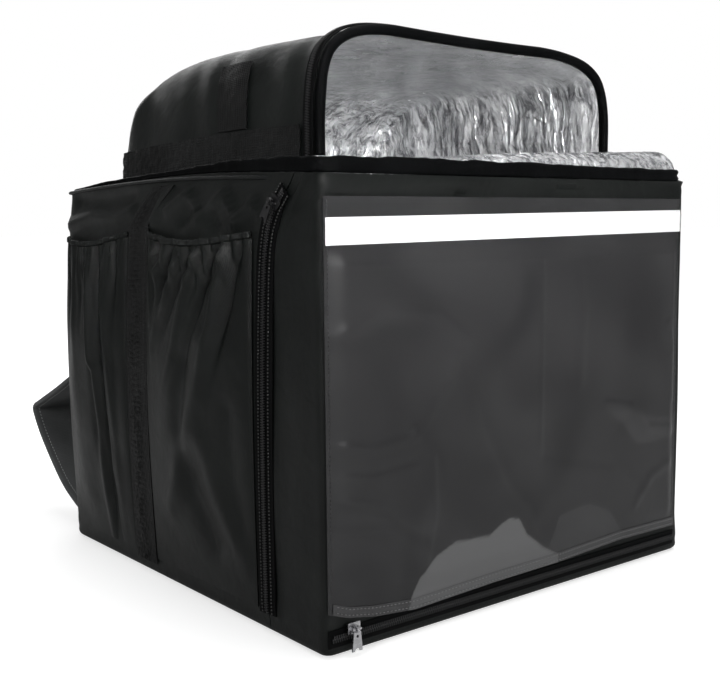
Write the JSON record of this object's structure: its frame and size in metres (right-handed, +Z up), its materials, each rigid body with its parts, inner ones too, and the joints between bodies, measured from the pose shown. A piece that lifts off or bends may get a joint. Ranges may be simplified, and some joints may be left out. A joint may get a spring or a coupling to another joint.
{
  "type": "food delivery bag",
  "caption": "Square insulated delivery backpack in black nylon: clear front window, side pockets, foil lined hood on the lid, shoulder straps.",
  "frame": {"origin": "middle of the underside of the base, on the ground", "axes": "+Z up; -Y is the front with the window; +Y is the wearer's back with the straps; +X is the right seen from the front"},
  "size_m": [0.4984, 0.6014, 0.5049],
  "materials": {
    "nylon": "black coated nylon, plain weave",
    "webbing": "black woven webbing",
    "zip_tape": "black zip tape and coil",
    "binding": "black bias binding and elastic",
    "foil": "crinkled aluminised foil over foam",
    "clear_vinyl": "clear vinyl over black cloth",
    "reflective": "white reflective tape",
    "steel": "plated zip slider and pull",
    "black_metal": "black painted zip slider and pull"
  },
  "bodies": {
    "bag": {"base_panel": "nylon", "body_wall": "nylon", "front_panel": "nylon", "hood_base_band": "webbing", "hood_edge_binding": "binding", "hood_lining": "foil", "hood_shell": "nylon", "hood_webbing_left": "webbing", "hood_webbing_right": "webbing", "hood_zip": "zip_tape", "lid_binding": "binding", "lid_pad": "foil", "pocket_front_left": "nylon", "pocket_front_right": "nylon", "pocket_hem_front_left": "binding", "pocket_hem_front_right": "binding", "pocket_hem_rear_left": "binding", "pocket_hem_rear_right": "binding", "pocket_rear_left": "nylon", "pocket_rear_right": "nylon", "reflective_stripe": "reflective", "shoulder_strap_left": "webbing", "shoulder_strap_right": "webbing", "side_webbing_left": "webbing", "side_webbing_right": "webbing", "side_zip_left": "zip_tape", "side_zip_right": "zip_tape", "side_zip_slider_left": "black_metal", "side_zip_slider_right": "black_metal", "top_piping": "binding", "window_hem": "clear_vinyl", "window_sheet": "clear_vinyl", "window_zip": "zip_tape", "window_zip_slider": "steel"},
    "window_pull": {"window_zip_pull": "steel"},
    "left_pull": {"side_zip_pull_left": "black_metal"},
    "right_pull": {"side_zip_pull_right": "black_metal"}
  },
  "joints": [
    {"name": "window_pull_swing", "type": "hinge", "parent": "bag", "child": "window_pull", "pos_m": [-0.203, -0.2397, 0.022], "axis": [-1, 0, 0], "range_deg": [0, 160]},
    {"name": "left_pull_swing", "type": "hinge", "parent": "bag", "child": "left_pull", "pos_m": [-0.23603, -0.17814, 0.35498], "axis": [0, 0.8041, 0.5944], "range_deg": [0, 160]},
    {"name": "right_pull_swing", "type": "hinge", "parent": "bag", "child": "right_pull", "pos_m": [0.23603, -0.17814, 0.35498], "axis": [0, -0.8041, -0.5944], "range_deg": [0, 160]}
  ]
}
